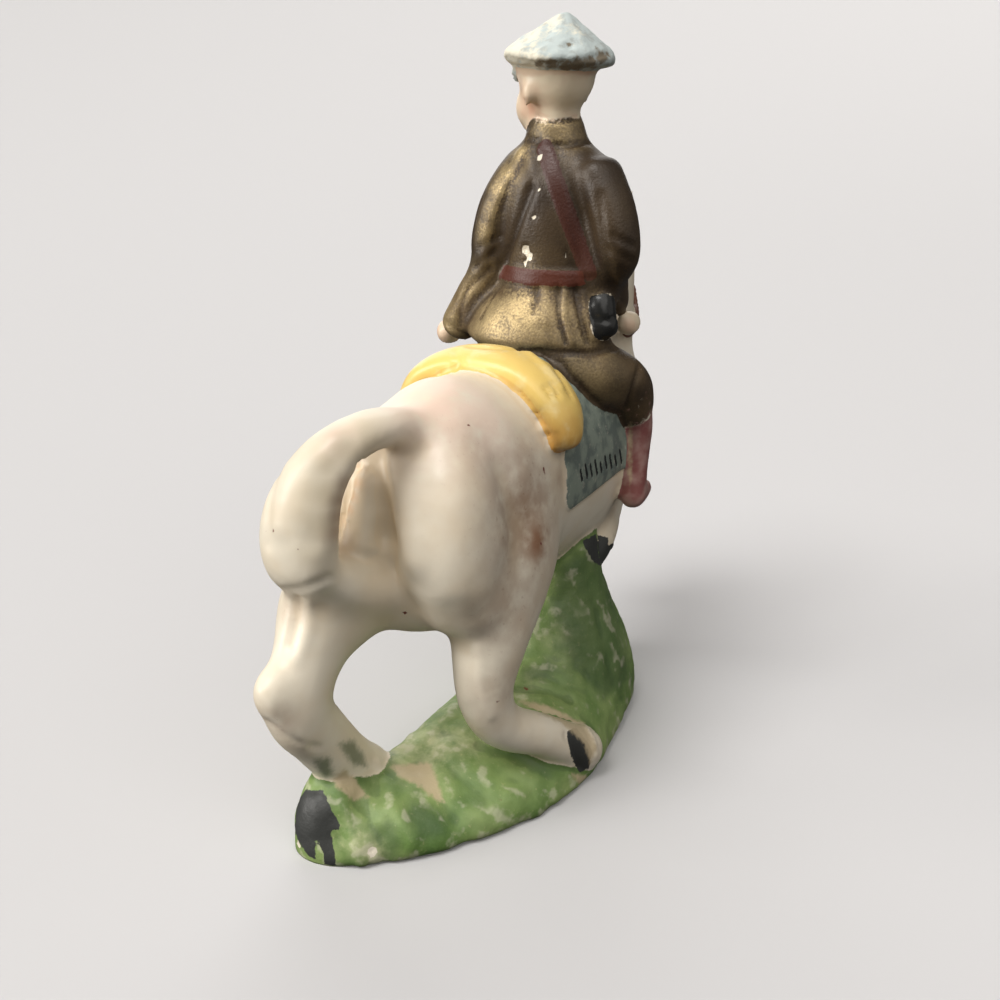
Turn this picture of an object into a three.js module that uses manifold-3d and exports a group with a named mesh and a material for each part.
// A mounted soldier figurine: horse, rider and grassy ground cast in one piece of painted bisque.
// Millimetres, +Z up. The horse heads along -Y and its left side is +X.
// The finished casting is moved so that the origin lies under the middle of it.
import * as THREE from "three";
import { mergeVertices } from "three/addons/utils/BufferGeometryUtils.js";
import Module from "manifold-3d";

const wasm = await Module();
wasm.setup();

// Driving dimensions. Places are measured from a point on the ground under the girth.
const CAP_TOP = 127;
const CAP_HALF_WIDTH = 9.6;
const CAP_TILT = 0.07;
const HEAD_Z = 114.5;
const HEAD_TURN = 1.13;
const COLLAR_Z = 107;
const SHOULDER_Z = 101;
const WAIST_Z = 85;
const HEM_Z = 73.5;
const RIDER_X = 0.6;
const RIDER_Y = -16.5;
const BELT_HEIGHT = 2.8;
const BELT_RELIEF = 0.6;
const STRAP_WIDTH = 2.1;
const STRAP_LEAN = 0.42;
const CROUP_Z = 74;
const BELLY_Z = 36;
const HAUNCH_HALF_WIDTH = 15;
const BARREL_HALF_WIDTH = 13;
const CLOTH_RELIEF = 0.7;
const CLOTH_HEM_Z = 49;
const DOCK_Z = 69.5;
const POLL_Z = 89;
const GROUND_LOW = 9.5;
const GROUND_HIGH = 17;
const LEFT_SLOPE = 0.6;
const MOUND_Z = 38;
const MOUND_MIDDLE = [-4.2, -14.5];
const X_AXIS = new THREE.Vector3(1, 0, 0);
const Y_AXIS = new THREE.Vector3(0, 1, 0);
const Z_AXIS = new THREE.Vector3(0, 0, 1);
const FORWARD = new THREE.Vector3(0, -1, 0);

const smoothLine = (points, closed = false) => new THREE.CatmullRomCurve3(points, closed, "centripetal");
const bothSides = (make) => [-1, 1].flatMap(make);

// A ring of points: at(angle) gives each one.
function ringOf(sides, at) {
  return Array.from({ length: sides }, (_, k) => at((2 * Math.PI * k) / sides));
}

// A closed skin over rings of points, each end closed by a fan to its own middle
function skin(rings) {
  const sides = rings[0].length;
  const middles = [rings[0], rings[rings.length - 1]].map((ring) => {
    const sum = ring.reduce((all, point) => all.add(point), new THREE.Vector3());
    return sum.divideScalar(sides);
  });
  const points = [...rings.flat(), ...middles];
  const [first, last] = [points.length - 2, points.length - 1];
  const faces = [];
  for (let k = 0; k < sides; k++) {
    const next = (k + 1) % sides;
    for (let low = 0; low < first - sides; low += sides) {
      faces.push(low + k, low + next, low + next + sides);
      faces.push(low + k, low + next + sides, low + k + sides);
    }
    faces.push(first, next, k);
    faces.push(last, first - sides + k, first - sides + next);
  }
  const geometry = new THREE.BufferGeometry().setFromPoints(points);
  geometry.setIndex(faces);
  return geometry;
}

// A closed solid of oval sections along a smooth line, with rounded ends.
// A station is [x, y, z, half-width, half-depth], and the width lies near the side direction.
// With a facing direction given, all the sections face that way instead of along the line.
function loft(stations, { sides = 12, steps = 2, side = X_AXIS, round = 0.8, grow = 0, facing = null } = {}) {
  const spine = smoothLine(stations.map(([x, y, z]) => new THREE.Vector3(x, y, z)));
  const sizes = smoothLine(stations.map(([, , , w, d]) => new THREE.Vector3(w + grow, d + grow, 0)));
  const section = (t, shrink, push) => {
    const size = sizes.getPoint(t);
    const ahead = facing ?? spine.getTangent(t);
    const u = side.clone().projectOnPlane(ahead).normalize();
    const v = ahead.clone().cross(u);
    const centre = spine.getPoint(t).addScaledVector(ahead, push * Math.min(size.x, size.y));
    return ringOf(sides, (a) => {
      const point = centre.clone().addScaledVector(u, size.x * shrink * Math.cos(a));
      return point.addScaledVector(v, size.y * shrink * Math.sin(a));
    });
  };
  const endAngles = [0.5, 1.05];
  const count = (stations.length - 1) * steps;
  return skin([
    ...endAngles.map((a) => section(0, Math.sin(a), -round * Math.cos(a))),
    ...Array.from({ length: count + 1 }, (_, i) => section(i / count, 1, 0)),
    ...endAngles.toReversed().map((a) => section(1, Math.sin(a), round * Math.cos(a))),
  ]);
}

// A ball with three radii, turned about the vertical
function ball([x, y, z], [rx, ry, rz], { sides = 12, turn = 0 } = {}) {
  const geometry = new THREE.SphereGeometry(1, sides, Math.round(sides / 2) + 1);
  geometry.rotateX(Math.PI / 2).scale(rx, ry, rz).rotateZ(turn);
  return geometry.translate(x, y, z);
}

// A three.js geometry as a solid that can be joined and cut
function solid(geometry) {
  const bare = geometry.index ? geometry.toNonIndexed() : geometry.clone();
  for (const name of Object.keys(bare.attributes)) {
    if (name !== "position") bare.deleteAttribute(name);
  }
  const merged = mergeVertices(bare, 1e-4);
  const corners = Array.from(merged.index.array);
  const kept = [];
  for (let i = 0; i < corners.length; i += 3) {
    const [a, b, c] = corners.slice(i, i + 3);
    if (a !== b && b !== c && c !== a) kept.push(a, b, c);
  }
  return new wasm.Manifold(new wasm.Mesh({
    numProp: 3,
    vertProperties: merged.attributes.position.array,
    triVerts: new Uint32Array(kept),
  }));
}

// A block to cut with: its size and middle, leaning about the Y axis
function block(size, [x, y, z], lean = 0) {
  return solid(new THREE.BoxGeometry(...size).rotateY(lean).translate(x, y, z));
}

function barrel(grow = 0) {
  const middle = (CROUP_Z + BELLY_Z) / 2;
  const half = (CROUP_Z - BELLY_Z) / 2;
  return loft([
    [0, 29, middle + 4, 7, half * 0.6],
    [0, 25.5, middle + 1, 11.4, half * 0.9],
    [0, 19, middle, HAUNCH_HALF_WIDTH - 0.6, half],
    [0, 5, middle - 1.6, BARREL_HALF_WIDTH + 0.8, half],
    [0, -12, middle - 3.2, BARREL_HALF_WIDTH, half * 1.06],
    [0, -25, middle - 2.6, BARREL_HALF_WIDTH - 0.6, half * 1.08],
    [0, -36, middle + 2, BARREL_HALF_WIDTH - 2.6, half * 0.86],
  ], { sides: 16, round: 0.5, grow, facing: FORWARD });
}

// The saddle cloth lies on the barrel and stands a little outside it, down to its hem.
function saddleCloth() {
  const reach = block([60, 30, 40], [0, -11, CLOTH_HEM_Z + 20]);
  return solid(barrel(CLOTH_RELIEF)).intersect(reach);
}

function neckAndHead() {
  const [x, y, z] = [0.6, -43.5, POLL_Z];
  const neck = loft([
    [0, -29, 62, 9.5, 14],
    [0.2, -35.5, 72, 6.8, 11],
    [0.5, -40, 82, 5.2, 8.4],
    [x, y + 1, z, 4.4, 6],
  ], { sides: 10 });
  const mane = loft([
    [0.2, -25, 74, 1.6, 3],
    [-0.4, -30.5, 83, 1.9, 3.2],
    [-0.4, -36.5, 90, 1.8, 3],
    [0.2, -42, 94.5, 1.4, 2.2],
  ], { sides: 8 });
  const skull = loft([
    [x, y + 1, z + 1, 4.3, 5.2],
    [x + 1.6, y - 4.5, z - 3, 4.4, 5.6],
    [x + 3.4, y - 10, z - 9, 3.5, 4.5],
    [x + 5, y - 14.5, z - 15.5, 3, 3.5],
  ], { sides: 10 });
  const ears = bothSides((way) => loft([
    [x + way * 2.8, y + 2, z + 3.6, 1.8, 1.4],
    [x + way * 3.6, y + 2.2, z + 6, 1.6, 1.2],
    [x + way * 3.9, y + 1.4, z + 8.8, 0.6, 0.6],
  ], { sides: 6, steps: 1 }));
  return [neck, mane, skull, ...ears];
}

// The buttocks, with the cleft between them, and the rump that carries the root of the tail
function haunches() {
  const crotch = ball([3.2, 24.5, 42.4], [11.5, 9.5, 9.2], { sides: 10 });
  const buttocks = bothSides((way) => loft([
    [way * 4.6, 24.5, 65.5, 5.4, 6.4],
    [way * 6.6, 27, 58, 7.2, 8.6],
    [way * 7.4, 27.5, 50, 7.6, 9.2],
    [way * 7.8, 24.5, 42.5, 7.4, 9],
  ], { sides: 10, steps: 1, round: 0.9 }));
  const rump = loft([
    [0.8, 24.5, 66.5, 5, 6],
    [0.4, 27, 61.5, 5.2, 6.6],
    [-0.8, 27.6, 56, 5, 6.4],
    [-2.4, 27, 50, 4.6, 6.2],
  ], { sides: 10, steps: 1, round: 0.9 });
  return [crotch, rump, ...buttocks];
}

// The tail arches from the dock, and its end is joined to the left thigh by a web.
function tail() {
  const web = loft([
    [7.4, 43.2, 48.6, 4.8, 2.6],
    [6.2, 39, 45.4, 5.2, 3.6],
    [4.6, 33.4, 42.8, 4.8, 4],
  ], { sides: 10, steps: 1 });
  const brush = loft([
    [-0.5, 24, DOCK_Z - 2.6, 4.4, 3.2],
    [-0.2, 30, DOCK_Z - 0.8, 4.2, 2.8],
    [0.4, 35.5, DOCK_Z + 0.8, 4, 2.5],
    [3, 41.4, DOCK_Z - 1, 4.4, 2.6],
    [5.8, 44.6, DOCK_Z - 6.4, 5.6, 3],
    [7.6, 45.6, DOCK_Z - 13, 6.8, 3.4],
    [8.4, 45.2, DOCK_Z - 18.4, 6.8, 3.6],
    [9.6, 43.4, DOCK_Z - 21.8, 4.6, 3],
  ], { sides: 10 });
  return [brush, web];
}

function hindLegs() {
  const left = loft([
    [6.6, 15, 57, 7.2, 13.5],
    [8.2, 27, 46.5, 8, 11.8],
    [10.3, 37.8, 39.4, 7, 9],
    [10.1, 43, 34, 4.8, 6],
    [9.9, 46.4, 27.8, 4.7, 5.6],
    [9.6, 42, 20, 4.3, 5.1],
    [9.2, 36, 11.5, 4.4, 4.8],
    [9, 31, 7, 4.4, 4.4],
  ], { sides: 10 });
  const hock = ball([10.6, 50, 31.5], [3.3, 3.6, 4.4], { sides: 8 });
  const right = loft([
    [-6.8, 13.5, 58, 7, 13],
    [-7.8, 15, 47, 8, 14],
    [-8.8, 18.5, 39.4, 7.3, 10.8],
    [-10, 22.6, 33, 5.9, 7],
    [-10.5, 25.2, 25, 4.4, 4.7],
    [-11.8, 23, 18.6, 3.8, 4],
    [-15.4, 14.6, 12.6, 3.5, 3.7],
    [-19, 4.2, 4.6, 3.6, 4],
  ], { sides: 10 });
  return [left, hock, right];
}

function foreLegs() {
  const right = loft([
    [-5.6, -29, 51, 5.4, 8],
    [-4.4, -33, 43, 4.4, 5.6],
    [-3.8, -35.5, 37.5, 3.5, 3.8],
    [-5, -31.5, 34.5, 3.2, 3.2],
    [-6.4, -27, 33.4, 3.4, 3.2],
    [-6.6, -22.4, 30, 3.2, 3.4],
  ], { sides: 10 });
  const left = loft([
    [7, -33, 53, 5.2, 8.6],
    [7.6, -43, 50, 4.5, 6],
    [8, -50.5, 47.5, 3.9, 4.2],
    [8, -53, 41, 3, 3.1],
    [8, -51.4, 34.5, 3.1, 3.2],
    [8, -51, 31, 3.8, 3.6],
  ], { sides: 10 });
  return [right, left];
}

// The blanket roll lies across the loins behind the rider.
function blanketRoll() {
  return loft([
    [15, 5, 58, 3.6, 1.6],
    [15, 5, 64.5, 4.8, 2.2],
    [11.8, 5.4, 70, 5.4, 2.3],
    [5, 5.2, 73.2, 5.4, 2.3],
    [-3, 5, 73.4, 5.4, 2.3],
    [-9.6, 4.6, 70.8, 5.5, 2.3],
    [-13.4, 4.4, 66, 5.2, 2.1],
    [-14.4, 4.8, 62, 3.8, 1.8],
  ], { sides: 10, side: Y_AXIS });
}

function tunic(grow = 0) {
  return loft([
    [RIDER_X + 1.6, RIDER_Y + 1.4, HEM_Z + 0.4, 14, 9.4],
    [RIDER_X + 1, RIDER_Y + 1.2, HEM_Z + 5, 11.8, 8.2],
    [RIDER_X - 0.4, RIDER_Y, WAIST_Z, 8.4, 6.6],
    [RIDER_X, RIDER_Y - 0.4, WAIST_Z + 9, 9.4, 7],
    [RIDER_X, RIDER_Y - 0.6, SHOULDER_Z, 9.4, 6.4],
    [RIDER_X - 0.3, RIDER_Y - 1, COLLAR_Z - 3, 9.6, 5.4],
    [RIDER_X - 0.3, RIDER_Y - 1.2, COLLAR_Z, 5.7, 4.6],
    [RIDER_X - 0.4, RIDER_Y - 1.2, COLLAR_Z + 3.4, 4.4, 4.3],
  ], { sides: 14, round: 0.3, grow, facing: Z_AXIS });
}

// The belt and the strap over the left shoulder are slices of the tunic, grown a little outwards.
function beltAndStrap() {
  const grown = solid(tunic(BELT_RELIEF));
  const belt = grown.intersect(block([60, 60, BELT_HEIGHT], [0, 0, WAIST_Z]));
  const shoulder = [RIDER_X - 4.8, 0, (COLLAR_Z + WAIST_Z) / 2];
  const slice = block([STRAP_WIDTH, 60, 60], shoulder, STRAP_LEAN);
  const strap = grown.intersect(slice).intersect(block([60, 60, 23], [0, 0, WAIST_Z + 11.5]));
  return [belt, strap];
}

function pouch() {
  return loft([
    [-10.5, RIDER_Y + 1.8, WAIST_Z - 3.6, 2.2, 1.9],
    [-11.4, RIDER_Y + 2.2, HEM_Z + 2.6, 2.7, 2.2],
  ], { sides: 8, side: new THREE.Vector3(0.75, 0.66, 0), steps: 1 });
}

function arms() {
  const left = loft([
    [6.4, RIDER_Y, SHOULDER_Z + 0.4, 3.8, 4.6],
    [9.4, RIDER_Y + 0.8, 96.6, 3.8, 4.6],
    [11.2, RIDER_Y + 1.2, 91, 3.8, 4.3],
    [12, RIDER_Y + 1.2, 85, 3.7, 3.9],
    [15.6, RIDER_Y + 0.8, 79, 3.8, 3.7],
    [19.4, RIDER_Y + 0.6, 73.4, 3.5, 3.5],
  ], { sides: 10 });
  const leftHand = ball([23, RIDER_Y - 2, 71.8], [2.5, 3, 2.6], { sides: 8 });
  const right = loft([
    [-8.2, RIDER_Y, SHOULDER_Z + 1.2, 3.9, 4.8],
    [-11.6, RIDER_Y + 1, 96, 3.8, 4.8],
    [-13.2, RIDER_Y + 1.2, 89.4, 3.5, 4.1],
    [-10.4, RIDER_Y - 2.6, 85, 2.9, 3.1],
    [-8.8, RIDER_Y - 8.6, 78.8, 2.3, 2.4],
  ], { sides: 10 });
  const rightHand = ball([-10.4, RIDER_Y - 10.6, 75.2], [2.3, 3, 2.4], { sides: 8 });
  const folds = bothSides((way) => loft([
    [way * 8, RIDER_Y + 0.2, 93, 3, 3.4],
    [way * 8.8, RIDER_Y + 0.4, 86, 3, 3.2],
    [way * 9.6, RIDER_Y - 0.2, 80, 2.8, 2.8],
  ], { sides: 8, steps: 1 }));
  return [left, leftHand, right, rightHand, ...folds];
}

function legs() {
  return bothSides((way) => {
    const leg = loft([
      [way * 4.6, RIDER_Y + 4, HEM_Z - 4, 6, 6.6],
      [way * 8.8, RIDER_Y + 0.5, HEM_Z - 5.6, 6, 6.2],
      [way * 12.6, RIDER_Y - 6, HEM_Z - 9, 4.6, 5],
      [way * 13.8, RIDER_Y - 8.4, 57, 2.8, 4],
      [way * 14, RIDER_Y - 8, 49, 2.3, 3],
      [way * 14.2, RIDER_Y - 7.6, 45.5, 2.3, 2.8],
    ], { sides: 10, steps: 1 });
    const foot = loft([
      [way * 14.2, RIDER_Y - 7, 43.2, 2.5, 2.6],
      [way * 13.6, RIDER_Y - 11, 43, 2.5, 2.2],
      [way * 13, RIDER_Y - 14.5, 42.8, 2.2, 1.7],
    ], { sides: 8, steps: 1 });
    return [leg, foot];
  });
}

// One rein runs from the right hand, and the other from the rider's lap, along the neck to the bit.
function reins() {
  return bothSides((way) => loft([
    [way < 0 ? -10.2 : 8, RIDER_Y - 12, 74.6, 1, 1],
    [way * 8, -33, 72.5, 1, 1],
    [way * 6.6, -38.5, 72, 1, 1],
    [way * 4.8 + 1, -46, 73.5, 0.9, 0.9],
    [way * 3.4 + 4.2, -54.5, 77, 0.9, 0.9],
  ], { sides: 6, steps: 1 }));
}

function riderHead() {
  const [x, y] = [RIDER_X - 0.2, RIDER_Y - 1];
  const facing = new THREE.Vector3(Math.sin(HEAD_TURN), -Math.cos(HEAD_TURN), 0);
  const across = facing.clone().cross(Z_AXIS);
  const at = (ahead, aside, z) => {
    return new THREE.Vector3(x, y, z).addScaledVector(facing, ahead).addScaledVector(across, aside);
  };
  const knob = ([ahead, aside, z], radii, sides) => {
    return ball(at(ahead, aside, z).toArray(), radii, { sides, turn: HEAD_TURN });
  };
  const skull = knob([0, 0, HEAD_Z + 3.2], [6.2, 7.2, 7], 12);
  const jaw = knob([3.9, 0, HEAD_Z - 2.2], [4.5, 4.7, 4.6], 12);
  const nose = knob([8, 0, HEAD_Z - 0.2], [0.8, 1, 1.5], 6);
  const ears = bothSides((way) => knob([0.2, way * 5.9, HEAD_Z - 0.4], [0.8, 1.3, 2], 6));
  const neck = loft([
    [RIDER_X - 0.4, RIDER_Y - 1, COLLAR_Z, 3.7, 3.7],
    [x - 0.2, y, HEAD_Z - 2, 3.9, 4],
  ], { steps: 1, sides: 10 });
  // The cap has a thick round brim, and its crown is a low tent that leans to the right.
  const rings = [
    [-2, 5.8, -0.5], [-1.5, 8.8, -0.5], [-0.5, CAP_HALF_WIDTH, -0.5], [0.6, CAP_HALF_WIDTH - 0.7, -0.5],
    [2, 7, -0.8], [4.2, 3.8, -1.2], [6.3, 0.9, -1.4],
  ];
  const cap = skin(rings.map(([rise, radius, shift]) => ringOf(18, (a) => {
    const height = CAP_TOP - 6.6 + rise + CAP_TILT * radius * Math.sin(a);
    return at(radius * Math.sin(a), radius * Math.cos(a), height).add(new THREE.Vector3(shift, 0, 0));
  })));
  const visor = loft([
    [...at(5, 0, CAP_TOP - 9).toArray(), 5.4, 0.8],
    [...at(7.6, 0, CAP_TOP - 9.6).toArray(), 4.6, 0.8],
    [...at(9.4, 0, CAP_TOP - 10.6).toArray(), 2.8, 0.8],
  ], { sides: 10, side: across });
  return [skull, jaw, nose, ...ears, neck, cap, visor];
}

// The ground is a long hump that climbs forward into a mound under the belly.
// Its left flank slopes more gently than the right one, and the left hind hoof is its rear end.
function ground() {
  const outline = [
    [9, 47.4], [2.6, 46.8], [-6.5, 39.4], [-14.4, 28.4], [-19.6, 16], [-21.2, 6], [-20, -7], [-17, -20],
    [-11, -31], [-2, -37], [5.6, -34], [10, -24], [11.6, -8], [11.8, 10], [12.4, 28], [13.4, 42],
  ];
  const rim = smoothLine(outline.map(([x, y]) => new THREE.Vector3(x, y, 0)), true);
  const levels = [[0, 0], [0.03, 0.24], [0.16, 0.56], [0.42, 0.85], [0.75, 0.98], [0.97, 1]];
  const hump = skin(levels.map(([inward, rise]) => ringOf(32, (a) => {
    const edge = rim.getPointAt(a / (2 * Math.PI));
    const crest = new THREE.Vector3(-2 + 0.24 * Math.max(edge.y, 0), Math.min(edge.y, 38), 0);
    const along = THREE.MathUtils.clamp((edge.y + 5) / 33, 0, 1);
    const height = THREE.MathUtils.lerp(GROUND_HIGH, GROUND_LOW, along);
    const point = edge.lerp(crest, inward ** (edge.x > crest.x ? LEFT_SLOPE : 1));
    point.z = height * rise;
    return point;
  })));
  const hoof = loft([
    [9, 37.5, 9.5, 4.4, 5],
    [8.9, 41.6, 6.6, 5.1, 5.7],
    [8.8, 43.3, 3, 5.4, 4.3],
    [8.8, 43.5, -1, 5.4, 4.3],
  ], { steps: 1 });
  const [x, y] = MOUND_MIDDLE;
  const layers = [[0, 14, 21], [7, 13.8, 20], [15, 11.8, 16], [23, 9, 12], [31, 6.8, 9], [MOUND_Z, 6, 8]];
  const mound = skin(layers.map(([z, w, d]) => ringOf(18, (a) => {
    return new THREE.Vector3(x + w * Math.cos(a), y + d * Math.sin(a), z);
  })));
  return [hump, hoof, mound];
}

function figurine() {
  const forms = [
    barrel(), neckAndHead(), haunches(), tail(), hindLegs(), foreLegs(), blanketRoll(),
    tunic(), pouch(), arms(), legs(), reins(), riderHead(), ground(),
  ].flat().map(solid);
  const parts = [...forms, saddleCloth(), ...beltAndStrap()];
  const aboveGround = block([400, 400, 400], [0, 0, 200]);
  const whole = parts.reduce((all, part) => all.add(part)).intersect(aboveGround);
  const { vertProperties, triVerts } = whole.getMesh();
  const geometry = new THREE.BufferGeometry();
  geometry.setAttribute("position", new THREE.BufferAttribute(new Float32Array(vertProperties), 3));
  geometry.setIndex(new THREE.BufferAttribute(triVerts, 1));
  geometry.computeBoundingBox();
  const middle = geometry.boundingBox.getCenter(new THREE.Vector3());
  geometry.translate(-middle.x, -middle.y, 0);
  geometry.computeVertexNormals();
  const bisque = new THREE.MeshStandardMaterial({ color: 0xe6dccb, roughness: 0.55, metalness: 0 });
  const mesh = new THREE.Mesh(geometry, bisque);
  mesh.name = "figurine";
  return mesh;
}

const group = new THREE.Group();
group.add(figurine());
export default group;
